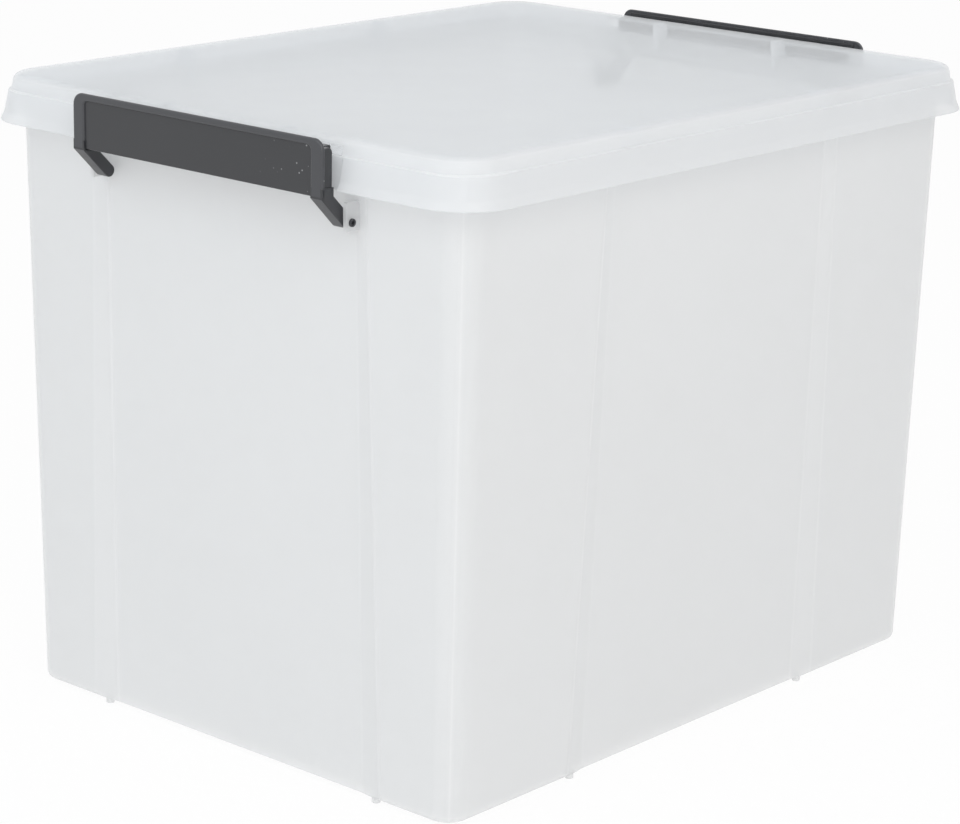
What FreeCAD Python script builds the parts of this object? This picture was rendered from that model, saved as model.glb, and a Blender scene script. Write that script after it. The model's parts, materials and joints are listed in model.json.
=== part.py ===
import FreeCAD, Part
import math
import os

# Stackable storage box: a tub, a lid and two clip handles, all injection moulded.
# Millimetres, +Z up, origin at the middle of the floor that the box stands on.
# X runs along the long side, and the clips are on the two short ends.

# Tub, measured over its outer walls at the lid's lip
tub_length = 470.0
tub_width = 372.2
tub_height = 384.2
end_draft = 5.25
side_draft = 7.1
mouth_corner_radius = 18.0
base_corner_radius = 15.0
tub_wall = 2.2
tub_floor = 2.6
base_edge_radius = 4.0
rim_thickness = 2.4

# Recessed panel in the middle of each wall, a little wider and deeper at the base
panel_depth = 2.4
panel_base_depth = 4.2
panel_step = 10.0
panel_spread = 3.6
panel_cover = 6.0

# Round feet under the edge of the floor
foot_height = 3.4
foot_radius = 2.6
foot_inset = 5.6
foot_offset = 9.6

# Lid, which overhangs the tub's walls
lip_overhang = 15.0
lid_corner_radius = 33.0
lid_wall = 2.2
lip_band = 5.0
lip_flare = 2.2
skirt_height = 19.0
skirt_draft = 2.8
ledge_width = 2.0
plateau_height = 10.0
plateau_draft = 1.2
plateau_edge_radius = 5.5

# Ribs under the lid that centre it in the mouth of the tub
rib_width = 8.0
rib_reach = 7.0
rib_depth = 6.0
rib_taper = 2.0
rib_place_side = 90.5
rib_place_end = 50.5

# Clip handle
clip_width = 205.6
clip_stand = 9.8
clip_rise = 1.0
clip_drop = 3.1
clip_thickness = 2.4
clip_corner_radius = 7.0
band_width = 9.3
top_band_width = 4.2
label_depth = 1.4
label_corner_radius = 3.0
label_thickness = 2.2
flange_setback = 1.5
flange_corner_radius = 3.0
hook_rise = 5.5
hook_thickness = 2.4

# Hinge of the clip: the arm's end, the pin on it and the lug on the tub
pivot_stand = 4.3
pivot_drop = 18.7
arm_radius = 3.8
bend_drop = 3.7
pin_radius = 2.4
pin_stand = 1.2
lug_front = 4.2
lug_rise = 12.0
lug_fall = 5.0
lug_corner_radius = 2.0
lug_thickness = 3.0

# Clearances between the pieces, and the overrun of cuts
lid_clearance = 0.4
pin_clearance = 0.05
arm_clearance = 0.5
hook_clearance = 0.4
seat_clearance = 1.2
overrun = 2.0

# Heights that follow from the sizes above
floor_top = foot_height + tub_floor
rim_bottom = tub_height - rim_thickness
ledge_height = tub_height + lid_wall
lip_height = ledge_height - skirt_height
lid_top = ledge_height + plateau_height
panel_top = lip_height + panel_cover
clip_top = lid_top + clip_rise
clip_bottom = lip_height - clip_drop
flange_top = ledge_height + hook_rise
bend_height = lip_height - bend_drop
pivot_height = lip_height - pivot_drop

# Distances from the middle of the box
lid_length = tub_length + 2 * lip_overhang
lid_width = tub_width + 2 * lip_overhang
skirt_inset = lip_flare + skirt_draft
plateau_inset = skirt_inset + ledge_width
rim_inset = skirt_inset + lid_wall + lid_clearance
seat_out = lid_length / 2 - skirt_inset
hook_tip_out = seat_out + hook_clearance
flange_rear_out = lid_length / 2
face_out = lid_length / 2 + clip_stand
plate_inner_out = face_out - clip_thickness
label_face_out = face_out - label_depth
label_inner_out = label_face_out - label_thickness
pivot_out = tub_length / 2 + pivot_stand

# Distances to the side, along the width of a clip
clip_half = clip_width / 2
band_inner = clip_half - band_width
flange_outer = clip_half - flange_setback
seat_half = clip_half + seat_clearance
lug_inner = clip_half + arm_clearance
lug_outer = lug_inner + lug_thickness
pin_end = lug_outer + pin_stand

ORIGIN = FreeCAD.Vector(0, 0, 0)
AXIS_X = FreeCAD.Vector(1, 0, 0)
AXIS_Y = FreeCAD.Vector(0, 1, 0)
AXIS_Z = FreeCAD.Vector(0, 0, 1)
QUARTER = 90
HALF = 180


def box(x, y, z):
    """A box between pairs of bounds along each axis."""
    corner = FreeCAD.Vector(min(x), min(y), min(z))
    return Part.makeBox(max(x) - min(x), max(y) - min(y), max(z) - min(z), corner)


def rounded_outline(length, width, radius, height):
    """A closed rectangle with round corners, level at one height, about the Z axis."""
    x, y = length / 2 - radius, width / 2 - radius
    half_step = radius * math.cos(math.radians(QUARTER / 2))
    edges = []
    for sx, sy in ((1, 1), (-1, 1), (-1, -1), (1, -1)):
        on_x = FreeCAD.Vector(sx * (x + radius), sy * y, height)
        on_y = FreeCAD.Vector(sx * x, sy * (y + radius), height)
        middle = FreeCAD.Vector(sx * (x + half_step), sy * (y + half_step), height)
        first, last = (on_x, on_y) if sx == sy else (on_y, on_x)
        edges.append((first, middle, last))
    parts = []
    for i, (first, middle, last) in enumerate(edges):
        parts.append(Part.Arc(first, middle, last).toShape())
        parts.append(Part.LineSegment(last, edges[(i + 1) % len(edges)][0]).toShape())
    return Part.Wire(parts)


def lofted(outlines):
    """A solid of straight walls through outlines of the same form."""
    return Part.makeLoft(outlines, True, True)


def lid_outline(inset, height):
    """The lid's outline drawn in by an inset."""
    return rounded_outline(lid_length - 2 * inset, lid_width - 2 * inset, lid_corner_radius - inset, height)


def extruded(points, y_from, y_to):
    """A polygon in X and Z carried along Y."""
    corners = [FreeCAD.Vector(x, y_from, z) for x, z in points]
    face = Part.Face(Part.makePolygon(corners + corners[:1]))
    return face.extrude(AXIS_Y * (y_to - y_from))


def cylinder_y(radius, x, z, y_from, y_to):
    """A cylinder along Y between two places."""
    return Part.makeCylinder(radius, y_to - y_from, FreeCAD.Vector(x, y_from, z), AXIS_Y)


def both_sides(shape, axis):
    """A shape and its mirror image across the origin along one axis."""
    return [shape, shape.mirror(ORIGIN, axis)]


def fall_at(height):
    """How far a height lies below the lid's lip, as a share of the tub's walls."""
    return (lip_height - height) / (lip_height - foot_height)


def tub_size_at(height):
    """Length, width and corner radius of the tub's outer wall at a height."""
    fall = fall_at(height)
    length = tub_length - 2 * end_draft * fall
    width = tub_width - 2 * side_draft * fall
    radius = mouth_corner_radius + fall * (base_corner_radius - mouth_corner_radius)
    return length, width, radius


def tub_outline(inset, height):
    """The tub's outline at a height, drawn in by an inset."""
    length, width, radius = tub_size_at(height)
    return rounded_outline(length - 2 * inset, width - 2 * inset, radius - inset, height)


def panel_half_at(height):
    """Half the width of a recessed panel's floor at a height."""
    return clip_half + panel_spread * fall_at(height)


def panel_depth_at(height):
    """How far a panel is recessed at a height."""
    return panel_depth + (panel_base_depth - panel_depth) * fall_at(height)


def panel_section(size, inset, height):
    """Plan of one wall's recess, for a wall that faces -Y: narrow inside and wide outside."""
    inner = panel_half_at(height)
    depth = panel_depth_at(height)
    outer = inner + panel_step / panel_depth * (depth + overrun)
    face = -size / 2 + inset
    plan = [(-outer, face - overrun), (outer, face - overrun), (inner, face + depth), (-inner, face + depth)]
    corners = [FreeCAD.Vector(x, y, height) for x, y in plan]
    return Part.makePolygon(corners + corners[:1])


def wall_panels(inset, bottom, top):
    """Recesses for the four walls, between two heights, drawn in by an inset."""
    shapes = []
    for turn, along in ((0, 1), (QUARTER, 0)):
        recess = lofted([panel_section(tub_size_at(z)[along], inset, z) for z in (bottom, top)])
        for half in (0, HALF):
            copy = recess.copy()
            copy.rotate(ORIGIN, AXIS_Z, turn + half)
            shapes.append(copy)
    return shapes


def tub_shell():
    """The tub's walls and floor, with the recessed panels pressed through both faces."""
    outer = lofted([tub_outline(0, foot_height), tub_outline(0, tub_height)])
    sole = [e for e in outer.Edges if e.BoundBox.ZMax - foot_height < overrun]
    outer = outer.makeFillet(base_edge_radius, sole)
    outer = outer.cut(wall_panels(0, foot_height - overrun, panel_top))
    inner = lofted([tub_outline(tub_wall, floor_top), tub_outline(tub_wall, tub_height + overrun)])
    pads = wall_panels(tub_wall, foot_height - overrun, panel_top + tub_wall)
    return outer.cut(inner.cut(pads))


def tub_rim():
    """The rim that turns outward at the mouth and carries the lid."""
    ring = lofted([lid_outline(rim_inset, z) for z in (rim_bottom, tub_height)])
    hole = lofted([tub_outline(tub_wall, z) for z in (rim_bottom - overrun, tub_height + overrun)])
    return ring.cut(hole)


def feet():
    """Eight round feet under the edge of the floor, two on each side."""
    shapes = []
    length, width = tub_size_at(foot_height)[:2]
    place = panel_half_at(foot_height) + foot_offset
    for turn, size in ((0, width), (QUARTER, length)):
        for middle in (-place, place):
            centre = FreeCAD.Vector(middle, -size / 2 + foot_inset, 0)
            foot = Part.makeCylinder(foot_radius, foot_height + tub_floor / 2, centre, AXIS_Z)
            for half in (0, HALF):
                copy = foot.copy()
                copy.rotate(ORIGIN, AXIS_Z, turn + half)
                shapes.append(copy)
    return shapes


def lugs():
    """Four tabs on the end walls, each with a hole for a clip's pin."""
    wall_out = tub_size_at(pivot_height)[0] / 2 - panel_depth_at(pivot_height) - tub_wall / 2
    tab = box((-pivot_out - lug_front, -wall_out), (lug_inner, lug_outer),
              (pivot_height - lug_fall, pivot_height + lug_rise))
    corners = [e for e in tab.Edges if e.BoundBox.XMax < -pivot_out and e.BoundBox.YLength > overrun]
    tab = tab.makeFillet(lug_corner_radius, corners)
    tab = tab.cut(cylinder_y(pin_radius + pin_clearance, -pivot_out, pivot_height,
                             lug_inner - overrun, lug_outer + overrun))
    return [shape for end in both_sides(tab, AXIS_X) for shape in both_sides(end, AXIS_Y)]


def make_tub():
    """The open tub in one piece."""
    return tub_shell().multiFuse([tub_rim()] + feet() + lugs()).removeSplitter()


def lid_block(extra, bottom):
    """The lid's outer form, or its hollow when drawn in by the wall."""
    top_of_skirt = ledge_height - extra
    skirt = lofted([
        lid_outline(extra, bottom),
        lid_outline(lip_flare + extra, lip_height + lip_band),
        lid_outline(skirt_inset + extra, top_of_skirt),
    ])
    plateau = lofted([
        lid_outline(plateau_inset + extra, top_of_skirt),
        lid_outline(plateau_inset + plateau_draft + extra, lid_top - extra),
    ])
    crown = [e for e in plateau.Edges if e.BoundBox.ZMin > lid_top - extra - overrun]
    plateau = plateau.makeFillet(plateau_edge_radius - extra, crown)
    return skirt.fuse(plateau)


def clip_seats(inset, spread):
    """Spaces in the lid's skirt at both ends where the clips pass."""
    reach = (seat_out - inset, lid_length / 2 + overrun)
    half = seat_half + spread
    seat = box(reach, (-half, half), (lip_height - 2 * overrun, ledge_height - inset))
    return both_sides(seat, AXIS_X)


def lid_rib(mouth, edge):
    """One rib behind the wall that faces +X, hooked down into the mouth of the tub."""
    seat = tub_height + lid_clearance
    low = rim_bottom - rib_depth
    points = [
        (edge, lid_top),
        (mouth - rib_reach, lid_top),
        (mouth - rib_reach + rib_taper, low),
        (mouth - lid_clearance, low),
        (mouth - lid_clearance, seat),
        (edge, seat),
    ]
    return extruded(points, -rib_width / 2, rib_width / 2)


def lid_ribs():
    """Eight ribs, two behind each side of the lid, that end inside its wall."""
    shapes = []
    length, width = tub_size_at(rim_bottom - rib_depth)[:2]
    sides = ((0, length, lid_length, rib_place_end), (QUARTER, width, lid_width, rib_place_side))
    for turn, mouth, over, place in sides:
        rib = lid_rib(mouth / 2 - tub_wall, over / 2 - plateau_inset)
        for sideways in (-place, place):
            for half in (0, HALF):
                copy = rib.copy()
                copy.translate(AXIS_Y * sideways)
                copy.rotate(ORIGIN, AXIS_Z, turn + half)
                shapes.append(copy)
    room = lid_block(lid_wall / 2, rim_bottom - rib_depth - overrun)
    return [rib.common(room) for rib in shapes]


def make_lid():
    """The lid: a flat plateau, a ledge, a skirt with a flared lip, and a seat for each clip."""
    outer = lid_block(0, lip_height).cut(clip_seats(0, 0))
    hollow = lid_block(lid_wall, lip_height - overrun).cut(clip_seats(lid_wall, lid_wall))
    return outer.cut(hollow).multiFuse(lid_ribs()).removeSplitter()


def clip_plate():
    """The front of the clip: a frame on three sides round a sunk label field."""
    front = (-face_out, -plate_inner_out)
    frame = box(front, (-clip_half, clip_half), (clip_bottom, clip_top))
    corners = [e for e in frame.Edges if e.BoundBox.ZMin > clip_top - overrun
               and e.BoundBox.XLength > overrun]
    frame = frame.makeFillet(clip_corner_radius, corners)
    label_top = clip_top - top_band_width
    window = box((-face_out - overrun, -plate_inner_out + overrun), (-band_inner, band_inner),
                 (clip_bottom - overrun, label_top))
    corners = [e for e in window.Edges if e.BoundBox.ZMin > label_top - overrun
               and e.BoundBox.XLength > overrun]
    window = window.makeFillet(label_corner_radius, corners)
    label_half = band_inner + label_thickness
    label = box((-label_face_out, -label_inner_out), (-label_half, label_half),
                (clip_bottom, label_top + label_thickness))
    return frame.cut(window).fuse(label)


def clip_arm():
    """One side of the clip: the flange behind the frame and the arm that leans in to the pivot."""
    bend = (-face_out, bend_height)
    lean_x = bend[0] + pivot_out
    lean_z = bend[1] - pivot_height
    reach = math.hypot(lean_x, lean_z)
    turn = math.asin(arm_radius / reach)
    heading = math.atan2(lean_z, lean_x) - turn
    along = (math.cos(heading), math.sin(heading))
    across = (-along[1], along[0])
    length = reach * math.cos(turn)
    front_foot = (-pivot_out + across[0] * arm_radius, pivot_height + across[1] * arm_radius)
    rear_foot = (-pivot_out - across[0] * arm_radius, pivot_height - across[1] * arm_radius)
    rear_run = (-flange_rear_out - rear_foot[0]) / along[0]
    rear_bend = (-flange_rear_out, rear_foot[1] + rear_run * along[1])
    front_bend = (front_foot[0] + length * along[0], front_foot[1] + length * along[1])
    bar = extruded([front_foot, front_bend, (-face_out, rear_bend[1]), rear_bend, rear_foot],
                   band_inner, clip_half)
    end = cylinder_y(arm_radius, -pivot_out, pivot_height, band_inner, clip_half)
    flange = box((-plate_inner_out - clip_thickness / 2, -flange_rear_out), (band_inner, flange_outer),
                 (rear_bend[1] - overrun, flange_top))
    corner = [e for e in flange.Edges if e.BoundBox.ZMin > flange_top - overrun
              and e.BoundBox.XMin > -flange_rear_out - overrun and e.BoundBox.YLength > overrun]
    flange = flange.makeFillet(flange_corner_radius, corner)
    pin = cylinder_y(pin_radius, -pivot_out, pivot_height, clip_half - overrun, pin_end)
    return bar.multiFuse([end, flange, pin])


def clip_hook():
    """The shelf between the flanges, with a lip that drops behind the lid's ledge."""
    half = band_inner + overrun
    shelf = box((-plate_inner_out, -hook_tip_out), (-half, half), (flange_top - hook_thickness, flange_top))
    lip = box((-hook_tip_out - hook_thickness, -hook_tip_out), (-half, half),
              (ledge_height + hook_clearance, flange_top))
    return shelf.fuse(lip)


def make_clip():
    """The clip on the end that faces -X."""
    arms = both_sides(clip_arm(), AXIS_Y)
    return clip_plate().multiFuse(arms + [clip_hook()]).removeSplitter()


def save(name, shape):
    """Writes one piece and reports its size."""
    solids = shape.Solids
    if len(solids) == 1:
        shape = solids[0]
    shape.exportStep("parts/" + name + ".step")
    size = shape.BoundBox
    print(name, "valid", shape.isValid(), "solids", len(solids), "volume", round(shape.Volume),
          "size", round(size.XLength, 2), round(size.YLength, 2), round(size.ZLength, 2))


os.makedirs("parts", exist_ok=True)
left_clip = make_clip()
save("tub", make_tub())
save("lid", make_lid())
save("left_clip", left_clip)
save("right_clip", left_clip.mirror(ORIGIN, AXIS_X))
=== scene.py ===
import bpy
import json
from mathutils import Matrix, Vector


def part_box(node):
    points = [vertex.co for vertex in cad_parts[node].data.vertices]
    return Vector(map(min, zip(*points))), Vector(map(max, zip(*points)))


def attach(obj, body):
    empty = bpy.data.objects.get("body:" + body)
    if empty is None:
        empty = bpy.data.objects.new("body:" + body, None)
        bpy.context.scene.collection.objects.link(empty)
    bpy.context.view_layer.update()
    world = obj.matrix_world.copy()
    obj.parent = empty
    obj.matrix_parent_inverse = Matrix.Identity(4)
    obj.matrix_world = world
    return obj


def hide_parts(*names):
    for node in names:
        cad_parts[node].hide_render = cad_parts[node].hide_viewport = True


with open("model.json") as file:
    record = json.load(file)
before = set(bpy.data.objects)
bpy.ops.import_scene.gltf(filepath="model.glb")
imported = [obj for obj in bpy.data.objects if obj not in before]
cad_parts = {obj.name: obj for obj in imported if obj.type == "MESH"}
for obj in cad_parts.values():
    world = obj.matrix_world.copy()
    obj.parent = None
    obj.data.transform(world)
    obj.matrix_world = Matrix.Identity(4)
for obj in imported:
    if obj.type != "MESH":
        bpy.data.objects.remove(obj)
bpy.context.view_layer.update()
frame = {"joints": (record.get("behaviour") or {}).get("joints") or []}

import json
import math

import bpy
import numpy as np
from mathutils import Matrix, Vector

bl_info = {
    "name": "Stackable storage box",
    "version": (1, 0, 0),
    "blender": (4, 5, 0),
    "location": "3D View > Sidebar > Storage box",
    "description": "A translucent storage box with a lift-off lid and two clip handles",
    "category": "Object",
}

MM = 0.001
QUARTER_TURN = math.pi / 2
SHARP_ANGLE = math.radians(40.0)
TINY = 1e-6
LID_LOW, LID_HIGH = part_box("lid")
TUB_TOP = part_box("tub")[1][2]
CLIP_LOW, CLIP_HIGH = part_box("left_clip")
PIVOT = next(joint["pos_m"] for joint in frame["joints"] if joint["name"] == "left_clip_hinge")

# Turns along a round stretch of a profile, and numbers of points from knot to knot and round a corner
PROFILE_ARC = np.linspace(0, QUARTER_TURN, 7)
TUB_SIDE_POINTS, TUB_CORNER_POINTS = (6, 22, 10, 22, 6), 21
LID_SIDE_POINTS, LID_CORNER_POINTS = (6, 14, 10, 14, 6), 17

# What stands for the turn round a corner at points that are on none
OFF_CORNER = 9.0

# How softly a step bends, as a share of its width
PANEL_EASE_SHARE = 0.06
SEAT_EASE_SHARE = 0.15

# How pale the plastic is drawn, mostly as painted highlights and painted light, with a paler tone on the
# ribs: 1 is palest, and below 0 it is clearer than elsewhere
CORNER_HIGHLIGHT_SHARE, CORNER_HIGHLIGHT_ANGLE = 0.32, 0.08
# Painted highlights along the panels' bends, of a different strength on each half of the ends and the sides
INNER_BEND_HIGHLIGHTS = ((0.40, 0.10), (0.05, 0.14))
OUTER_BEND_HIGHLIGHTS = ((0.08, 0.40), (0.22, 0.14))
LID_SIDE_PAINTED_LIGHT = 0.7
LEDGE_CORNER_HIGHLIGHT, LEDGE_SIDE_HIGHLIGHT = 1.0, 0.85
HOOK_WINDOW_SHARE = -0.5
RIB_SHARE = 0.8
CLIP_FRAME_PAINTED_LIGHT = 1.0

# Shares of the lip's flare, of the skirt's draft where it starts, and of the ledge's edge that leans
FLARE_SHARES, SKIRT_START_SHARE, SKIRT_LEAN_SHARE = (0.62, 0.92), 0.12, 0.2

# Share of a pin's edge halfway round it, and shares of the radius and depth of the dimple in a pin's end
PIN_EDGE_SHARE = 0.3
DIMPLE_SHARES = ((1.0, 0.0), (0.88, 0.1), (0.72, 1.0))

# Place, aim and size in metres, power in watts, and colour of each lamp
LAMPS = {
    "left_lamp": ((-1.9, 0.1, 1.9), (0.0, 0.0, 0.2), 1.4, 12.0, (0.86, 0.945, 1.0)),
    "right_lamp": ((-0.8, -1.8, 1.9), (0.0, 0.0, 0.2), 1.4, 13.5, (1.0, 0.98, 0.955)),
    "front_lamp": ((-1.66, -1.45, 0.7), (0.0, 0.0, 0.35), 0.5, 3.0, (1.0, 1.0, 1.0)),
}


# Settings that show in the sidebar


def length(name, description, default, low=0.0):
    """A size in metres."""
    return bpy.props.FloatProperty(name=name, description=description, default=default,
                                   min=low, precision=4, unit="LENGTH")


def camera_angle(name, description, degrees):
    """An angle, given in degrees."""
    return bpy.props.FloatProperty(name=name, description=description, default=math.radians(degrees),
                                   unit="ROTATION")


def camera_size(name, description, millimetres):
    """A size inside the camera, in millimetres."""
    return bpy.props.FloatProperty(name=name, description=description, default=millimetres, min=1.0,
                                   unit="CAMERA")


def colour(name, description, default):
    """A linear colour."""
    return bpy.props.FloatVectorProperty(name=name, description=description, default=default,
                                         size=3, min=0.0, max=1.0, subtype="COLOR")


def share(name, description, default):
    """A share from 0 to 1."""
    return bpy.props.FloatProperty(name=name, description=description, default=default,
                                   min=0.0, max=1.0, subtype="FACTOR")


class TubSettings(bpy.types.PropertyGroup):
    """Sizes of the tub."""

    long_side: length("Length", "Over the end walls at the lid's lip", 470.0 * MM)
    short_side: length("Width", "Over the long walls at the lid's lip", 372.2 * MM)
    height: length("Height", "From the floor to the top of the rim", TUB_TOP)
    end_draft: length("End draft", "How far each end wall leans in towards the base", 5.25 * MM)
    side_draft: length("Side draft", "How far each long wall leans in towards the base", 7.1 * MM)
    mouth_corner: length("Mouth corner", "Corner radius at the lid's lip", 18.0 * MM)
    base_corner: length("Base corner", "Corner radius at the base", 15.0 * MM)
    wall: length("Wall", "Thickness of the walls", 2.2 * MM)
    floor: length("Floor", "Thickness of the floor", 2.6 * MM)
    base_edge: length("Base edge", "Radius between the walls and the underside", 4.0 * MM)
    floor_round: length("Floor round", "Radius between the walls and the floor inside", 3.0 * MM)
    rim: length("Rim", "Thickness of the rim that turns outward", 2.4 * MM)
    rim_edge: length("Rim edge", "Radius of the rim's edges", 0.7 * MM)
    rim_fillet: length("Rim fillet", "Radius between the walls and the rim's underside", 1.5 * MM)
    panel_depth: length("Panel depth", "How far the wall panels are sunk at the lid's lip", 2.4 * MM)
    panel_base_depth: length("Panel base depth", "How far the wall panels are sunk at the base", 4.2 * MM)
    panel_step: length("Panel step", "Width of the slope beside a panel at the lid's lip", 10.0 * MM)
    panel_spread: length("Panel spread", "How much wider a half panel is at the base", 3.6 * MM)
    panel_cover: length("Panel cover", "How far the panels run on above the lid's lip", 6.0 * MM)
    panel_fade: length("Panel fade", "Height over which the panels end there", 2.0 * MM)
    bend_room: length("Bend room", "Width of the finely drawn strip beside a bend", 2.5 * MM)
    # The pale line along a bend is a painted highlight
    bend_highlight: length("Bend line", "Width of the pale line along a bend", 0.9 * MM)
    foot_height: length("Foot height", "How far the feet stand under the floor", 3.4 * MM)
    foot_radius: length("Foot radius", "Radius of the round feet", 2.6 * MM)
    foot_inset: length("Foot inset", "Distance of a foot's middle from its wall", 5.6 * MM)
    foot_offset: length("Foot offset", "Distance of a foot's middle from the panel's edge", 9.6 * MM)
    foot_edge: length("Foot edge", "Radius of a foot's lower edge", 0.5 * MM)
    lug_front: length("Lug front", "How far the hinge tabs reach past the pin's axis", 4.2 * MM)
    lug_rise: length("Lug rise", "How far the hinge tabs reach above the pin's axis", 12.0 * MM)
    lug_fall: length("Lug fall", "How far the hinge tabs reach below the pin's axis", 5.0 * MM)
    lug_thickness: length("Lug thickness", "Thickness of the hinge tabs", 3.0 * MM)
    pin_gap: length("Pin gap", "Room round a pin in its hole", 0.05 * MM)


class LidSettings(bpy.types.PropertyGroup):
    """Sizes of the lid."""

    long_side: length("Length", "Over the lip", LID_HIGH[0] - LID_LOW[0])
    short_side: length("Width", "Over the lip", LID_HIGH[1] - LID_LOW[1])
    top: length("Top", "Height of the flat top", LID_HIGH[2])
    lip_height: length("Lip height", "Height of the lip's lower edge", LID_LOW[2])
    corner: length("Corner", "Corner radius of the lip", 33.0 * MM)
    wall: length("Wall", "Thickness of the lid", 2.2 * MM)
    lip_band: length("Lip band", "Height of the flared lip", 5.0 * MM)
    lip_flare: length("Lip flare", "How far the lip stands out", 2.2 * MM)
    lip_edge: length("Lip edge", "Radius of the lip's lower edge", 0.8 * MM)
    lip_swell: length("Lip swell", "How much thicker than the lid the lip's edge is", 0.6 * MM)
    lip_blend: length("Lip blend", "Height over which the lip runs into the skirt", 1.5 * MM)
    skirt_draft: length("Skirt draft", "How far the skirt leans in above the lip", 2.8 * MM)
    ledge: length("Ledge", "Width of the ledge above the skirt", 2.0 * MM)
    ledge_edge: length("Ledge edge", "Radius of the ledge's outer edge", 0.8 * MM)
    ledge_fillet: length("Ledge fillet", "Radius between the ledge and the plateau", 1.0 * MM)
    # The pale line along the ledge is a painted highlight
    ledge_highlight: length("Ledge line", "Width of the pale line along the ledge", 1.2 * MM)
    inner_strip: length("Inner strip", "Height of the upright strip above the ledge inside", 1.5 * MM)
    inner_chamfer: length("Inner chamfer", "Width of the chamfer under the ledge inside", 0.5 * MM)
    plateau: length("Plateau", "Height of the top above the ledge", 10.0 * MM)
    plateau_draft: length("Plateau draft", "How far the plateau's side leans in", 1.2 * MM)
    crown: length("Crown", "Radius of the edge of the flat top", 5.5 * MM)
    seat_room: length("Seat room", "Room beside a clip in its seat", 1.2 * MM)
    seat_slope: length("Seat slope", "Width of the step at the side of a seat", 0.6 * MM)
    step_room: length("Step room", "Half the width of the finely drawn strip at that step", 2.0 * MM)
    step_overlap: length("Step overlap", "How far a clear window runs past that strip's start", 0.1 * MM)
    clearance: length("Clearance", "Room between the lid and the tub", 0.4 * MM)
    rib_width: length("Rib width", "Width of the ribs inside", 2.2 * MM)
    rib_reach: length("Rib reach", "How far the ribs reach in from the mouth", 7.0 * MM)
    rib_depth: length("Rib depth", "How far the ribs reach down into the mouth", 6.0 * MM)
    rib_taper: length("Rib taper", "How much narrower a rib is at its lower end", 2.0 * MM)
    rib_corner: length("Rib corner", "Radius of a rib's corners", 0.6 * MM)
    rib_edge: length("Rib edge", "Radius of a rib's edges", 0.5 * MM)
    rib_place_end: length("End ribs", "Distance of the end ribs from the middle", 50.5 * MM)
    rib_place_side: length("Side ribs", "Distance of the side ribs from the middle", 90.5 * MM)


class ClipSettings(bpy.types.PropertyGroup):
    """Sizes of a clip handle."""

    width: length("Width", "Over the frame", 205.6 * MM)
    face: length("Face", "Distance of the front from the middle of the box", -CLIP_LOW[0])
    top: length("Top", "Height of the upper edge", CLIP_HIGH[2])
    bottom: length("Bottom", "Height of the label field's lower edge", 364.3 * MM)
    thickness: length("Thickness", "Thickness of the frame", 2.4 * MM)
    corner: length("Corner", "Radius of the frame's upper corners", 7.0 * MM)
    foot_corner: length("Foot corner", "Radius of the corners at the frame's lower ends", 1.6 * MM)
    band: length("Band", "Width of the frame's sides", 9.3 * MM)
    top_band: length("Top band", "Width of the frame's upper bar", 4.2 * MM)
    label_depth: length("Label depth", "How far the label field is sunk", 1.4 * MM)
    label_corner: length("Label corner", "Radius of the label field's corners", 3.0 * MM)
    label_thickness: length("Label thickness", "Thickness behind the label field", 2.2 * MM)
    flange_setback: length("Flange setback", "How far the flanges stand in from the sides", 1.5 * MM)
    flange_corner: length("Flange corner", "Radius of a flange's upper corner at the back", 3.0 * MM)
    plate_corner: length("Plate corner", "Radius of the small corners of plates", 0.8 * MM)
    overlap: length("Overlap", "How far flanges, hook and pins run into their neighbours", 2.0 * MM)
    hook_rise: length("Hook rise", "Height of the hook above the lid's ledge", 5.5 * MM)
    hook_thickness: length("Hook thickness", "Thickness of the hook", 2.4 * MM)
    hook_gap: length("Hook gap", "Room between the hook and the lid", 0.4 * MM)
    hook_root: length("Hook root", "How far the hook runs into the frame, and its corners there", 0.5 * MM)
    arm_radius: length("Arm radius", "Half the width of the arms", 3.8 * MM)
    arm_cover: length("Arm cover", "How far the arms run up behind the frame", 6.0 * MM)
    arm_setback: length("Arm setback", "How far the arms start behind the frame's front", 0.02 * MM)
    arm_ease: length("Arm ease", "Height over which the front of an arm turns upright", 0.3 * MM)
    bend_drop: length("Bend drop", "How far the arms bend below the lip", 3.7 * MM)
    pin_radius: length("Pin radius", "Radius of the hinge pins", 2.4 * MM)
    pin_stand: length("Pin stand", "How far the pins stand out of the lugs", 1.2 * MM)
    pin_edge: length("Pin edge", "Radius of the edge of a pin's end", 0.4 * MM)
    dimple_radius: length("Dimple radius", "Radius of the dimple in a pin's end", 1.25 * MM)
    dimple_depth: length("Dimple depth", "Depth of the dimple in a pin's end", 1.5 * MM)
    arm_gap: length("Arm gap", "Room between an arm and its lug", 0.5 * MM)
    front_slope: length("Front slope", "Radius of the frame's front edges", 1.3 * MM)
    soft_edge: length("Soft edge", "Radius of the moulded edges", 0.6 * MM)
    back_edge: length("Back edge", "Radius of the edges behind the label field and of the hook", 0.4 * MM)


class FinishSettings(bpy.types.PropertyGroup):
    """Colours of the plastics."""

    tub_colour: colour("Tub", "Milky plastic of the tub", (0.933, 0.937, 0.940))
    lid_colour: colour("Lid", "Milky plastic of the lid", (0.920, 0.931, 0.943))
    clip_colour: colour("Clips", "Charcoal plastic of the clips", (0.038, 0.039, 0.043))
    tub_clearness: share("Tub clearness", "Share of sight that passes one face of the tub", 0.34)
    lid_clearness: share("Lid clearness", "Share of sight that passes one face of the lid", 0.63)
    tub_sight: colour("Tub sight", "Tint of what is seen through one face of the tub", (1.0, 1.0, 1.0))
    lid_sight: colour("Lid sight", "Tint of what is seen through one face of the lid",
                      (0.985, 0.992, 1.0))
    glow: share("Glow", "Share of scattered light that goes through a face", 0.40)


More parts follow.
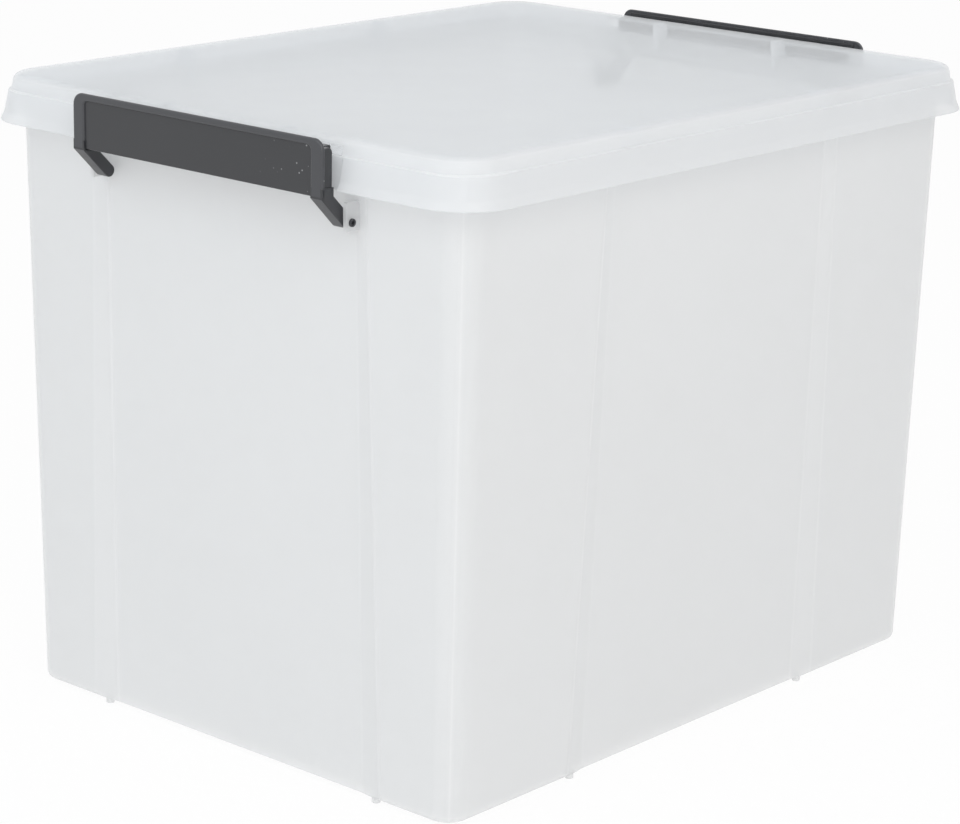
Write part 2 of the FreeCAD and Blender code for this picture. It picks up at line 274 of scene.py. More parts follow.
class StageSettings(bpy.types.PropertyGroup):
    """Camera, floor and light."""

    azimuth: camera_angle("Azimuth", "Bearing of the camera", -48.84)
    elevation: camera_angle("Elevation", "Height of the camera", 15.71)
    roll: camera_angle("Roll", "Tilt of the picture", 1.22)
    distance: length("Distance", "From the camera to the point that it looks at", 1.9961)
    aim_height: length("Aim height", "Height of the point before the picture is moved", 208.0 * MM)
    aim_right: length("Aim right", "Move of the picture to the right", -4.75 * MM, low=-1.0)
    aim_up: length("Aim up", "Move of the picture upward", -35.9 * MM, low=-1.0)
    lens: camera_size("Lens", "Focal length of the camera", 115.83)
    sensor: camera_size("Sensor", "Width of the sensor", 36.0)
    floor_reach: length("Floor reach", "Distance of the floor's edges from the middle", 12.0)
    floor_colour: colour("Floor", "Pale floor", (0.94, 0.94, 0.94))
    floor_white: share("Floor white", "Share of plain white in the floor as the camera sees it", 0.95)
    sky: share("Sky", "Strength of the even light from all round", 0.62)


# Surfaces


def quads(rows, columns, joined=False):
    """Faces between neighbouring rows of a grid whose columns close, and whose rows close if joined."""
    i = np.arange(rows if joined else rows - 1)[:, None]
    j = np.arange(columns)[None, :]
    after, beside = (i + 1) % rows, (j + 1) % columns
    corners = [i * columns + j, i * columns + beside, after * columns + beside, after * columns + j]
    return np.stack(corners, -1).reshape(-1, 4)


def shell(points, joined=False, crease=0.0):
    """A closed surface from a grid of rows, with flat caps on the first and last row unless they are joined.

    The last argument says how pale the plastic is drawn at each point: painted highlights and painted light
    at bends, corners, the ledge, the lid's sides and the clips' frames, a paler tone on the ribs and a
    clearer strip before the hooks.
    """
    rows, columns = points.shape[:2]
    ring = np.arange(columns)
    caps = [] if joined else [ring[::-1], ring + (rows - 1) * columns]
    crease = np.broadcast_to(crease, (rows, columns)).ravel()
    return points.reshape(-1, 3), quads(rows, columns, joined), caps, crease


def fan_volume(first, second, third):
    """Six times the volume between triangles and the origin: the sum of corner times normal."""
    return np.einsum("ij,ij->", np.broadcast_to(first, second.shape), np.cross(second, third))


def outward_turn(points, grid, caps):
    """1 if the faces of a closed surface look outward, so that it holds a positive volume, or else -1."""
    a, b, c, d = points[grid].transpose(1, 0, 2)
    volume = fan_volume(a, b, c) + fan_volume(a, c, d)
    volume += sum(fan_volume(points[cap[:1]], points[cap[1:-1]], points[cap[2:]]) for cap in caps)
    return 1 if volume > 0 else -1


def walls(half_x, half_y, radius, height, knots, counts, arc, recess):
    """Rows of points round an upright form, one row for each height.

    Each row is a rectangle with round corners. Along a side the points blend straight between knots, and
    the side is drawn in by the recess there. Round a corner they are the corner's centre plus radius times
    cosine and sine. Also gives each point's place along its side, its turn from the middle of a corner,
    which is far off on the sides, and whether it belongs to a short end.
    """
    steps = np.concatenate([np.linspace(i, i + 1, n + 1)[1:] for i, n in enumerate(counts)])[:-1]
    first = steps.astype(int)
    along_share = steps - first
    turn = np.linspace(0.0, QUARTER_TURN, arc)
    bend = np.concatenate([np.full(len(steps), OFF_CORNER), turn - QUARTER_TURN / 2])
    on_end = np.arange(4 * len(bend)) // len(bend) % 2 == 0
    parts, places = [], []
    for side in range(4):
        out, along = (half_x, half_y) if side % 2 == 0 else (half_y, half_x)
        end = along - radius
        knot = np.concatenate([-end[:, None], knots, end[:, None]], 1)
        t = knot[:, first] * (1 - along_share) + knot[:, first + 1] * along_share
        n = out[:, None] - recess(side, t)
        n = np.concatenate([n, (out - radius)[:, None] + radius[:, None] * np.cos(turn)], 1)
        t = np.concatenate([t, end[:, None] + radius[:, None] * np.sin(turn)], 1)
        c, s = math.cos(side * QUARTER_TURN), math.sin(side * QUARTER_TURN)
        parts.append(np.stack([n * c - t * s, n * s + t * c, np.broadcast_to(height[:, None], n.shape)], -1))
        places.append(t)
    return np.concatenate(parts, 1), np.concatenate(places, 1), np.tile(bend, 4), on_end


def bell(distance, width):
    """1 at no distance, falling to 0 as a bell curve over the width."""
    return np.exp(-(distance / width) ** 2)


def soft_ramp(u, blur):
    """From 0 below 0 to 1 above 1 in a straight line, with both bends eased over about blur."""
    return (np.sqrt(u * u + blur * blur) - np.sqrt((u - 1) ** 2 + blur * blur) + 1) / 2


def rounded(corners, radii, steps=6):
    """A polygon with an arc of the given radius in each corner: the centre plus the turned edge normal."""
    p = np.array(corners, float)
    before, after = np.roll(p, 1, 0) - p, np.roll(p, -1, 0) - p
    before /= np.linalg.norm(before, axis=1)[:, None]
    after /= np.linalg.norm(after, axis=1)[:, None]
    half = np.arccos(np.clip((before * after).sum(1), -1, 1)) / 2
    r = np.broadcast_to(np.array(radii, float), half.shape)[:, None]
    middle = before + after
    middle /= np.linalg.norm(middle, axis=1)[:, None]
    centre = p + middle * r / np.sin(half)[:, None]
    start = p + before * r / np.tan(half)[:, None] - centre
    stop = p + after * r / np.tan(half)[:, None] - centre
    turn = (math.pi - 2 * half)[:, None, None]
    s = np.linspace(0, 1, steps)[None, :, None]
    arc = (np.sin((1 - s) * turn) * start[:, None] + np.sin(s * turn) * stop[:, None]) / np.sin(turn)
    return (centre[:, None] + arc).reshape(-1, 2)


def drawn_in(outline, inset):
    """A closed outline moved inward by each inset: each point goes along the mitre of its two edges."""
    area = outline[:, 0] @ np.roll(outline[:, 1], -1) - outline[:, 1] @ np.roll(outline[:, 0], -1)
    edge = np.roll(outline, -1, 0) - outline
    edge /= np.linalg.norm(edge, axis=1)[:, None]
    normal = np.stack([edge[:, 1], -edge[:, 0]], 1) * np.sign(area)
    last = np.roll(normal, 1, 0)
    mitre = (normal + last) / (1 + (normal * last).sum(1))[:, None]
    return outline[None] - mitre[None] * np.asarray(inset)[:, None, None]


def eased_ends(low, high, soft_low, soft_high, steps=4):
    """Places along a bar and how far its outline is drawn in there, with a quarter circle at each end."""
    q = np.linspace(0, QUARTER_TURN, steps)
    place = np.concatenate([low + soft_low * (1 - np.cos(q)), high - soft_high * (1 - np.cos(q[::-1]))])
    inset = np.concatenate([soft_low * (1 - np.sin(q)), soft_high * (1 - np.sin(q[::-1]))])
    return place, inset


def prism(outline, axis, low, high, soft_low, soft_high, crease=0.0):
    """An outline in two axes carried along the third from low to high, with its ends eased."""
    place, inset = eased_ends(low, high, soft_low, soft_high)
    flat = drawn_in(outline, inset)
    along = np.broadcast_to(place[:, None], flat.shape[:2])
    axes = [flat[..., 0], flat[..., 1]]
    axes.insert(axis, along)
    return shell(np.stack(axes, -1), crease=crease)


def turned(profile, centre_x, centre_z, sides=28):
    """A profile of radius and place along Y, turned about an axis that runs along Y."""
    radius, place = np.array(profile, float).T
    angle = np.linspace(0, 4 * QUARTER_TURN, sides, endpoint=False)
    x = centre_x + radius[:, None] * np.cos(angle)
    z = centre_z + radius[:, None] * np.sin(angle)
    return shell(np.stack([x, np.broadcast_to(place[:, None], x.shape), z], -1))


def mirrored(part, axis):
    """A surface mirrored across the middle of the box along one axis."""
    points, *rest = part
    flip = np.ones(3)
    flip[axis] = -1
    return points * flip, *rest


def quarter_turned(part, turns):
    """A surface turned about the upright axis by quarter turns."""
    points, *rest = part
    c, s = round(math.cos(turns * QUARTER_TURN)), round(math.sin(turns * QUARTER_TURN))
    x, y, z = points.T
    return np.stack([x * c - y * s, x * s + y * c, z], -1), *rest


def add_piece(name, parts, material, body, node):
    """One object from closed surfaces, which rides on a body and stands for a solid of the frame."""
    faces, start = [], 0
    for points, grid, caps, _ in parts:
        turn = outward_turn(points, grid, caps)
        faces += (grid[:, ::turn] + start).tolist() + [(cap[::turn] + start).tolist() for cap in caps]
        start += len(points)
    mesh = bpy.data.meshes.new(name)
    mesh.from_pydata(np.concatenate([part[0] for part in parts]), [], faces)
    if mesh.validate():
        raise RuntimeError(name + " has broken faces")
    # The per-point pale value: painted highlights and painted light, with a paler tone on the ribs and a
    # clearer strip before the hooks
    crease = mesh.attributes.new("crease", "FLOAT", "POINT")
    crease.data.foreach_set("value", np.concatenate([part[3] for part in parts]).astype(np.float32))
    mesh.shade_smooth()
    mesh.set_sharp_from_angle(angle=SHARP_ANGLE)
    mesh.materials.append(material)
    piece = bpy.data.objects.new(name, mesh)
    bpy.context.scene.collection.objects.link(piece)
    even = piece.modifiers.new("even_shading", "WEIGHTED_NORMAL")
    even.keep_sharp = True
    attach(piece, body)
    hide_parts(node)
    return piece


# Finishes


class Wire:
    """A shader socket on which + - * / and ** add Math nodes, with numbers or sockets on either side."""

    def __init__(self, paint, socket):
        self.paint = paint
        self.socket = socket

    def worked_out(self, operation, first, second):
        return self.paint.node("ShaderNodeMath", {"operation": operation}, {0: first, 1: second})

    def __add__(self, other):
        return self.worked_out("ADD", self, other)

    def __radd__(self, other):
        return self.worked_out("ADD", other, self)

    def __sub__(self, other):
        return self.worked_out("SUBTRACT", self, other)

    def __rsub__(self, other):
        return self.worked_out("SUBTRACT", other, self)

    def __mul__(self, other):
        return self.worked_out("MULTIPLY", self, other)

    def __rmul__(self, other):
        return self.worked_out("MULTIPLY", other, self)

    def __truediv__(self, other):
        return self.worked_out("DIVIDE", self, other)

    def __rtruediv__(self, other):
        return self.worked_out("DIVIDE", other, self)

    def __pow__(self, other):
        return self.worked_out("POWER", self, other)


class Paint:
    """The node tree of a material or of the world."""

    def __init__(self, owner):
        owner.use_nodes = True
        self.tree = owner.node_tree
        self.tree.nodes.clear()

    def node(self, kind, settings=None, sockets=None, output=0):
        """Adds a node, sets its settings and then its sockets' values or links, and gives one output."""
        node = self.tree.nodes.new(kind)
        for key, value in (settings or {}).items():
            setattr(node, key, value)
        for key, value in (sockets or {}).items():
            if isinstance(value, Wire):
                self.tree.links.new(value.socket, node.inputs[key])
            else:
                node.inputs[key].default_value = value
        return Wire(self, node.outputs[output]) if node.outputs else node

    def mixed(self, factor, first, second):
        """A colour between two colours."""
        return self.node("ShaderNodeMix", {"data_type": "RGBA"}, {0: factor, 6: first, 7: second}, 2)

    def noise(self, place, scale, detail=2.0, stretch=(1.0, 1.0, 1.0)):
        """Noise from 0 to 1, finer with scale, and drawn out where stretch is small."""
        place = self.node("ShaderNodeMapping", {}, {"Vector": place, "Scale": stretch})
        return self.node("ShaderNodeTexNoise", {}, {"Vector": place, "Scale": scale, "Detail": detail})

    def ramp(self, value, low, high):
        """0 below low, 1 above high, eased in between."""
        return self.node("ShaderNodeMapRange", {"interpolation_type": "SMOOTHSTEP"},
                         {"Value": value, "From Min": low, "From Max": high})


def opaque(rgb):
    """A colour with full alpha."""
    return (*rgb, 1.0)


def scaled(rgb, factor):
    """A colour made lighter or darker."""
    return opaque([channel * factor for channel in rgb])


def milky_plastic(name, rgb, clearness, glow, sight):
    """Natural polypropylene: part of the sight goes straight through, the rest scatters back or through.

    Where the pale value of a point is high it is painted paler and less clear: painted highlights along
    bends, corners and the ledge, painted light on the lid's sides, and a paler tone on the ribs.
    """
    cloud_share, tone_and_painted_light_cover = 0.06, 0.8
    material = bpy.data.materials.new(name)
    paint = Paint(material)
    place = paint.node("ShaderNodeTexCoord", output="Object")
    crease = paint.node("ShaderNodeAttribute", {"attribute_name": "crease"}, output="Fac")
    cloud = paint.noise(place, scale=7.0, detail=3.0)
    streak = paint.noise(place, scale=60.0, stretch=(1.0, 1.0, 0.05))
    grain = paint.noise(place, scale=900.0)
    tint = paint.mixed(cloud, scaled(rgb, 0.985), scaled(rgb, 1.015))
    # Painted highlight and painted light: the tint goes towards white where the pale value is high
    tint = paint.mixed(crease, tint, (0.99, 0.99, 0.99, 1.0))
    bump = paint.node("ShaderNodeBump", {}, {"Strength": 0.06, "Distance": 0.0003, "Height": grain})
    face = paint.node("ShaderNodeBsdfPrincipled", {}, {
        "Base Color": tint, "Roughness": 0.26 + 0.12 * streak, "IOR": 1.49, "Normal": bump})
    behind = paint.node("ShaderNodeBsdfTranslucent", {}, {"Color": opaque(rgb), "Normal": bump})
    body = paint.node("ShaderNodeMixShader", {}, {0: glow, 1: face, 2: behind})
    hole = paint.node("ShaderNodeBsdfTransparent", {}, {"Color": opaque(sight)})
    # Less clear where the pale value is high, with the painted highlights, and clearer where it is below 0
    cover = 1.0 - clearness + cloud_share * (cloud - 0.5) + clearness * tone_and_painted_light_cover * crease
    surface = paint.node("ShaderNodeMixShader", {}, {0: cover, 1: hole, 2: body})
    paint.node("ShaderNodeOutputMaterial", {}, {"Surface": surface})
    return material


def charcoal_plastic(name, rgb):
    """Dark satin moulding with a fine grain, a frame painted paler as painted light, for the shade in the
    sunk label field, and a few scuffs near one end of the label.
    """
    scuff_share, scuffs_from, scuffs_full = 0.8, -45.0 * MM, -88.0 * MM
    material = bpy.data.materials.new(name)
    paint = Paint(material)
    place = paint.node("ShaderNodeTexCoord", output="Object")
    frame_painted_light = paint.node("ShaderNodeAttribute", {"attribute_name": "crease"}, output="Fac")
    cloud = paint.noise(place, scale=18.0, detail=3.0)
    grain = paint.noise(place, scale=1600.0, detail=3.0)
    across = paint.node("ShaderNodeSeparateXYZ", {}, {"Vector": place}, "Y")
    cells = {"Vector": place, "Scale": 260.0}
    speck = paint.node("ShaderNodeTexVoronoi", {}, cells, "Distance")
    pick = paint.node("ShaderNodeSeparateColor", {}, {
        "Color": paint.node("ShaderNodeTexVoronoi", {}, cells, "Color")}, "Red")
    near_end = paint.ramp(across, scuffs_from, scuffs_full)
    spots = paint.ramp(speck, 0.17, 0.09) * paint.ramp(pick, 0.80, 0.84) * near_end
    tint = paint.mixed(cloud, scaled(rgb, 0.9), scaled(rgb, 1.1))
    # Painted light: the frame is painted paler than the sunk label field, standing in for the shade that
    # falls in the field
    tint = paint.mixed(frame_painted_light, tint, scaled(rgb, 1.6))
    tint = paint.mixed(scuff_share * spots, tint, (0.40, 0.40, 0.41, 1.0))
    bump = paint.node("ShaderNodeBump", {}, {"Strength": 0.10, "Distance": 0.0002, "Height": grain})
    surface = paint.node("ShaderNodeBsdfPrincipled", {}, {
        "Base Color": tint, "Roughness": 0.28 + 0.08 * cloud, "IOR": 1.50, "Normal": bump})
    paint.node("ShaderNodeOutputMaterial", {}, {"Surface": surface})
    return material


def seen_share(paint):
    """1 for rays straight from the camera, from a mirror or through glass, and 0 for scattered light."""
    kinds = ("Is Camera Ray", "Is Glossy Ray", "Is Transmission Ray")
    first, second, third = (paint.node("ShaderNodeLightPath", output=kind) for kind in kinds)
    return first + second + third


def pale_floor(name, rgb, white_share):
    """Pale floor that is seen as white, with a trace of the box's shadow."""
    material = bpy.data.materials.new(name)
    paint = Paint(material)
    matt = paint.node("ShaderNodeBsdfDiffuse", {}, {"Color": opaque(rgb)})
    white = paint.node("ShaderNodeEmission", {}, {"Color": (1.0, 1.0, 1.0, 1.0), "Strength": 1.0})
    surface = paint.node("ShaderNodeMixShader", {}, {0: seen_share(paint) * white_share, 1: matt, 2: white})
    paint.node("ShaderNodeOutputMaterial", {}, {"Surface": surface})
    return material


# The tub


def fall_at(tub, lid, height):
    """How far a height lies below the lid's lip, as a share of the walls."""
    return (lid.lip_height - height) / (lid.lip_height - tub.foot_height)


def tub_outline(tub, lid, height):
    """Half length, half width and corner radius of the tub's outer wall at each height."""
    fall = fall_at(tub, lid, height)
    return (tub.long_side / 2 - tub.end_draft * fall, tub.short_side / 2 - tub.side_draft * fall,
            tub.mouth_corner + fall * (tub.base_corner - tub.mouth_corner))


def panel_half(tub, lid, clip, height):
    """Half the width of a recessed panel at each height."""
    return clip.width / 2 + tub.panel_spread * fall_at(tub, lid, height)


def lid_insets(lid):
    """Insets of the skirt's top, of the plateau and of the tub's rim from the lid's lip."""
    skirt = lid.lip_flare + lid.skirt_draft
    return skirt, skirt + lid.ledge, skirt + lid.wall + lid.clearance


def by_half(shares, on_end, place):
    """One of four shares at each point: for the ends and then the sides, on their left and right half."""
    (end_left, end_right), (side_left, side_right) = shares
    left = np.where(on_end, end_left, side_left)
    right = np.where(on_end, end_right, side_right)
    return np.where(place < 0, left, right)


def tub_wall(tub, lid, clip):
    """The walls, floor and rim: a profile of height and inset carried round the box.

    The profile goes up the outside, over the rim and down the inside. Each panel is a straight ramp with
    eased bends, the same on both faces, that fades out under the lid. The bends and the corners carry painted
    highlights: pale lines whose strength differs from half to half.
    """
    rim_low, panel_top = tub.height - tub.rim, lid.lip_height + tub.panel_cover
    floor_top = tub.foot_height + tub.floor
    straight = np.concatenate([np.linspace(tub.foot_height + 2.5 * tub.base_edge, lid.lip_height, 10),
                               panel_top + np.linspace(-0.5, 1.5, 5) * tub.panel_fade])
    up_edge, in_edge = 1 - np.cos(PROFILE_ARC), 1 - np.sin(PROFILE_ARC)
    rows = [  # height, inset from the wall, and inset from the rim where the row belongs to it
        (tub.foot_height + tub.base_edge * up_edge, tub.base_edge * in_edge, None),
        (straight, 0 * straight, None),
        (rim_low - tub.rim_fillet * in_edge, -tub.rim_fillet * up_edge, None),
        (rim_low + tub.rim_edge * up_edge, None, tub.rim_edge * in_edge),
        (tub.height - tub.rim_edge * up_edge[::-1], None, tub.rim_edge * in_edge[::-1]),
        (tub.height - tub.rim_edge * up_edge, tub.wall - tub.rim_edge * in_edge, None),
        (straight[::-1], tub.wall + 0 * straight, None),
        (floor_top + tub.floor_round * in_edge, tub.wall + tub.floor_round * up_edge, None),
    ]
    height = np.concatenate([row[0] for row in rows])
    inset = np.concatenate([0 * row[0] if row[1] is None else row[1] for row in rows])
    on_rim = np.concatenate([np.full(row[0].shape, row[1] is None) for row in rows])
    rim_inset = np.concatenate([0 * row[0] if row[2] is None else row[2] for row in rows])
    rim_inset = rim_inset + lid_insets(lid)[2]
    half_x, half_y, radius = tub_outline(tub, lid, height)
    half_x = np.where(on_rim, lid.long_side / 2 - rim_inset, half_x - inset)
    half_y = np.where(on_rim, lid.short_side / 2 - rim_inset, half_y - inset)
    radius = np.where(on_rim, lid.corner - rim_inset, radius - inset)
    full_depth = tub.panel_depth + (tub.panel_base_depth - tub.panel_depth) * fall_at(tub, lid, height)
    step = full_depth * tub.panel_step / tub.panel_depth
    depth = full_depth * np.clip((panel_top - height) / tub.panel_fade + 1, 0, 1) * ~on_rim
    half = panel_half(tub, lid, clip, height)
    near, far = half - tub.bend_room, half + step + tub.bend_room
    knots = np.stack([-far, -near, near, far], 1)
    in_base_edge = np.arange(len(height)) < len(PROFILE_ARC)
    already_in = np.where(in_base_edge, inset, 0.0)[:, None]

    def recess(_, t):
        ramp = soft_ramp((np.abs(t) - half[:, None]) / step[:, None], PANEL_EASE_SHARE)
        sunk = depth[:, None] * (1 - ramp)
        return np.maximum(sunk - already_in, 0.0)

    points, place, bend, on_end = walls(half_x, half_y, radius, height, knots, TUB_SIDE_POINTS,
                                        TUB_CORNER_POINTS, recess)
    # Painted highlights: pale lines along the panels' bends, of a different strength on each half
    past_panel = np.abs(place) - half[:, None]
    inner_bend_highlight = by_half(INNER_BEND_HIGHLIGHTS, on_end, place) * bell(past_panel, tub.bend_highlight)
    outer_bend_highlight = by_half(OUTER_BEND_HIGHLIGHTS, on_end, place) * bell(past_panel - step[:, None], tub.bend_highlight)
    on_panel = (depth > 0)[:, None] & (bend == OFF_CORNER)
    # Painted highlight: a pale line down the middle of each corner
    corner = CORNER_HIGHLIGHT_SHARE * bell(bend, CORNER_HIGHLIGHT_ANGLE)
    return shell(points, crease=on_panel * (inner_bend_highlight + outer_bend_highlight) + corner)


def tub_feet(tub, lid, clip):
    """Eight low round feet: a profile of radius and height, eased at its ends, turned about the upright."""
    half_x, half_y, _ = tub_outline(tub, lid, tub.foot_height)
    place = panel_half(tub, lid, clip, tub.foot_height) + tub.foot_offset
    angle = np.linspace(0, 4 * QUARTER_TURN, 24, endpoint=False)
    height, inset = eased_ends(0.0, tub.foot_height + tub.floor / 2, tub.foot_edge, tub.foot_edge / 5)
    radius = tub.foot_radius - inset
    feet = []
    for turns, half in ((0, half_x), (1, half_y)):
        for middle in (-place, place):
            x = half - tub.foot_inset + radius[:, None] * np.cos(angle)
            y = middle + radius[:, None] * np.sin(angle)
            foot = shell(np.stack([x, y, np.broadcast_to(height[:, None], x.shape)], -1))
            feet += [quarter_turned(foot, turns), quarter_turned(foot, turns + 2)]
    return feet


def tub_lugs(tub, lid, clip):
    """Four hinge tabs with a hole: the section goes from the hole over one face, the edge and the other.

    Seen along the pin, the tab's edge is a rectangle and the hole is a circle. Points at the same bearing
    from the pin's axis belong together.
    """
    bearing = np.linspace(0, 4 * QUARTER_TURN, 72, endpoint=False)
    away, rise = np.cos(bearing), np.sin(bearing)
    reach = tub_outline(tub, lid, PIVOT[2])[0] + PIVOT[0] - tub.panel_depth - tub.wall / 2
    edge = np.minimum(np.where(rise > 0, tub.lug_rise, tub.lug_fall) / np.maximum(np.abs(rise), TINY),
                      np.where(away > 0, -reach, tub.lug_front) / np.maximum(np.abs(away), TINY))
    hole = np.full_like(edge, clip.pin_radius + tub.pin_gap)
    inner = clip.width / 2 + clip.arm_gap
    place, inset = eased_ends(inner, inner + tub.lug_thickness, clip.soft_edge, clip.soft_edge)
    radius = np.concatenate([hole[None], edge[None] - inset[:, None], hole[None]])
    place = np.concatenate([[inner], place, [inner + tub.lug_thickness]])
    x, z = PIVOT[0] + radius * away, PIVOT[2] + radius * rise
    tab = shell(np.stack([x, np.broadcast_to(place[:, None], x.shape), z], -1), joined=True)
    pair = [tab, mirrored(tab, 1)]
    return pair + [mirrored(part, 0) for part in pair]


class STORAGE_BOX_OT_tub(bpy.types.Operator):
    """Make the tub with its panels, rim, feet and lugs"""

    bl_idname = "storage_box.make_tub"
    bl_label = "Make the tub"

    def execute(self, context):
        scene = context.scene
        tub, lid, clip, finish = scene.box_tub, scene.box_lid, scene.box_clip, scene.box_finish
        material = milky_plastic("tub_plastic", finish.tub_colour, finish.tub_clearness, finish.glow,
                                 finish.tub_sight)
        add_piece("tub_shell", [tub_wall(tub, lid, clip)], material, "tub", "tub")
        add_piece("tub_feet", tub_feet(tub, lid, clip), material, "tub", "tub")
        add_piece("tub_lugs", tub_lugs(tub, lid, clip), material, "tub", "tub")
        return {"FINISHED"}


# The lid


def lid_cover(lid, clip):
    """The lid's walls: a profile of height and inset carried round the box.

    The profile goes down the inside, under the lip and up the outside to the flat top. At each end the skirt
    is drawn back to a flat seat behind the clip. The outer faces below the top are painted paler as painted
    light, with a painted highlight along the ledge that is strongest at the corners, and the strip before
    each hook is clearer.
    """
    skirt, plateau, _ = lid_insets(lid)
    up_edge, in_edge = 1 - np.cos(PROFILE_ARC), 1 - np.sin(PROFILE_ARC)
    ledge = lid.top - lid.plateau
    lip, band = lid.lip_height, lid.lip_height + lid.lip_band
    crown_low = lid.top - lid.crown
    wall_in = plateau + lid.plateau_draft * (crown_low - ledge) / lid.plateau
    inner_crown, thick = lid.crown - lid.wall, lid.wall
    inner_ledge, skirt_in = ledge - thick, skirt + thick
    flare = [lid.lip_flare * part for part in FLARE_SHARES]
    flare.append(lid.lip_flare + lid.skirt_draft * SKIRT_START_SHARE)
    ledge_in = skirt + lid.ledge_edge * (up_edge - SKIRT_LEAN_SHARE * in_edge)
    rows = [  # height, inset from the lip, and by how much the seat is drawn back there
        (crown_low + inner_crown * (1 - up_edge), wall_in + thick + inner_crown * in_edge, thick),
        ([inner_ledge + lid.inner_strip, inner_ledge], [plateau + thick] * 2, thick),
        ([inner_ledge, inner_ledge - lid.inner_chamfer], [skirt_in + lid.inner_chamfer, skirt_in], thick),
        ([band], [lid.lip_flare + thick], thick),
        (lip + lid.lip_edge * in_edge, thick + lid.lip_swell - lid.lip_edge * up_edge, thick),
        (lip + lid.lip_edge * up_edge, lid.lip_edge * in_edge, 0.0),
        ([band - lid.lip_blend, band, band + lid.lip_blend], flare, 0.0),
        (ledge - lid.ledge_edge * in_edge, ledge_in, 0.0),
        (ledge + lid.ledge_fillet * up_edge, plateau - lid.ledge_fillet * in_edge, 0.0),
        (crown_low + lid.crown * (1 - in_edge), wall_in + lid.crown * up_edge, 0.0),
    ]
    height = np.concatenate([np.array(row[0], float) for row in rows])
    inset = np.concatenate([np.array(row[1], float) for row in rows])
    thin = np.concatenate([np.full(len(row[0]), row[2]) for row in rows])
    half_x, half_y = lid.long_side / 2 - inset, lid.short_side / 2 - inset
    seat_half = clip.width / 2 + lid.seat_room + thin
    near, far = seat_half - lid.step_room, seat_half + lid.step_room
    knots = np.stack([-far, -near, near, far], 1)
    drawn = np.maximum(half_x - (lid.long_side / 2 - skirt - thin), 0)

    def recess(side, t):
        ramp = soft_ramp((np.abs(t) - seat_half[:, None]) / lid.seat_slope, SEAT_EASE_SHARE)
        return drawn[:, None] * (1 - ramp) if side % 2 == 0 else 0 * t

    points, place, bend, on_end = walls(half_x, half_y, lid.corner - inset, height, knots, LID_SIDE_POINTS,
                                        LID_CORNER_POINTS, recess)
    outside = thin == 0
    # Painted light: the outer faces below the flat top are drawn paler than the top
    side_painted_light = LID_SIDE_PAINTED_LIGHT * outside * np.clip((lid.top - height) / (lid.crown / 2), 0, 1)
    # Painted highlight: a pale line along the ledge, stronger at the corners
    ledge_highlight = (outside * bell(height - ledge, lid.ledge_highlight))[:, None]
    ledge_highlight_share = np.where(bend == OFF_CORNER, LEDGE_SIDE_HIGHLIGHT, LEDGE_CORNER_HIGHLIGHT)
    hook_rows = outside & (height > ledge) & (height < ledge + clip.hook_rise)
    window = hook_rows[:, None] & on_end & (np.abs(place) < near[:, None] + lid.step_overlap)
    # The pale value is the stronger of the painted light on the sides and the painted highlight on the ledge
    pale = np.maximum(side_painted_light[:, None], ledge_highlight * ledge_highlight_share)
    return shell(points, crease=np.where(window, HOOK_WINDOW_SHARE, pale))


def lid_ribs(tub, lid):
    """Eight ribs behind the plateau's side: an outline that hooks into the mouth, carried across the rib."""
    plateau = lid_insets(lid)[1]
    low, top, seat = tub.height - tub.rim - lid.rib_depth, lid.top - lid.wall / 2, tub.height + lid.clearance
    half_x, half_y, _ = tub_outline(tub, lid, low)
    ribs = []
    for turns, half, over, place in ((0, half_x, lid.long_side, lid.rib_place_end),
                                     (1, half_y, lid.short_side, lid.rib_place_side)):
        mouth = half - tub.wall
        front, inner = mouth - lid.clearance, mouth - lid.rib_reach
        edge = over / 2 - plateau - lid.plateau_draft - lid.wall / 2
        outline = rounded([(edge - lid.crown + lid.wall, top), (inner, top), (inner + lid.rib_taper, low),
                           (front, low), (front, seat), (edge, seat), (edge, lid.top - lid.crown)],
                          lid.rib_corner, 4)
        for middle in (-place, place):
            rib = prism(outline, 1, middle - lid.rib_width / 2, middle + lid.rib_width / 2,
                        lid.rib_edge, lid.rib_edge, RIB_SHARE)
            ribs += [quarter_turned(rib, turns), quarter_turned(rib, turns + 2)]
    return ribs


class STORAGE_BOX_OT_lid(bpy.types.Operator):
    """Make the lid with its lip, seats and ribs"""

    bl_idname = "storage_box.make_lid"
    bl_label = "Make the lid"

    def execute(self, context):
        scene = context.scene
        tub, lid, clip, finish = scene.box_tub, scene.box_lid, scene.box_clip, scene.box_finish
        material = milky_plastic("lid_plastic", finish.lid_colour, finish.lid_clearness, finish.glow,
                                 finish.lid_sight)
        add_piece("lid_cover", [lid_cover(lid, clip)], material, "lid", "lid")
        add_piece("lid_ribs", lid_ribs(tub, lid), material, "lid", "lid")
        return {"FINISHED"}


# The clips


def clip_frame(clip, bend):
    """The frame: an upturned U with round corners, carried back from the front."""
    half, inner, label_top = clip.width / 2, clip.width / 2 - clip.band, clip.top - clip.top_band
    foot, label = clip.foot_corner, clip.label_corner
    outline = rounded([(-half, bend), (-inner, bend), (-inner, label_top), (inner, label_top), (inner, bend),
                       (half, bend), (half, clip.top), (-half, clip.top)],
                      [foot, foot, label, label, foot, foot, clip.corner, clip.corner], 8)
    return prism(outline, 0, -clip.face, -clip.face + clip.thickness, clip.front_slope, clip.soft_edge,
                 CLIP_FRAME_PAINTED_LIGHT)


def clip_label(clip):
    """The sunk label field: a plate behind the frame with an eased lower edge."""
    half = clip.width / 2 - clip.band + clip.label_thickness
    top = clip.top - clip.top_band + clip.label_thickness
    face = -clip.face + clip.label_depth
    corners = [(-half, clip.bottom), (half, clip.bottom), (half, top), (-half, top)]
    outline = rounded(corners, clip.plate_corner)
    return prism(outline, 0, face, face + clip.label_thickness, clip.soft_edge, clip.back_edge)


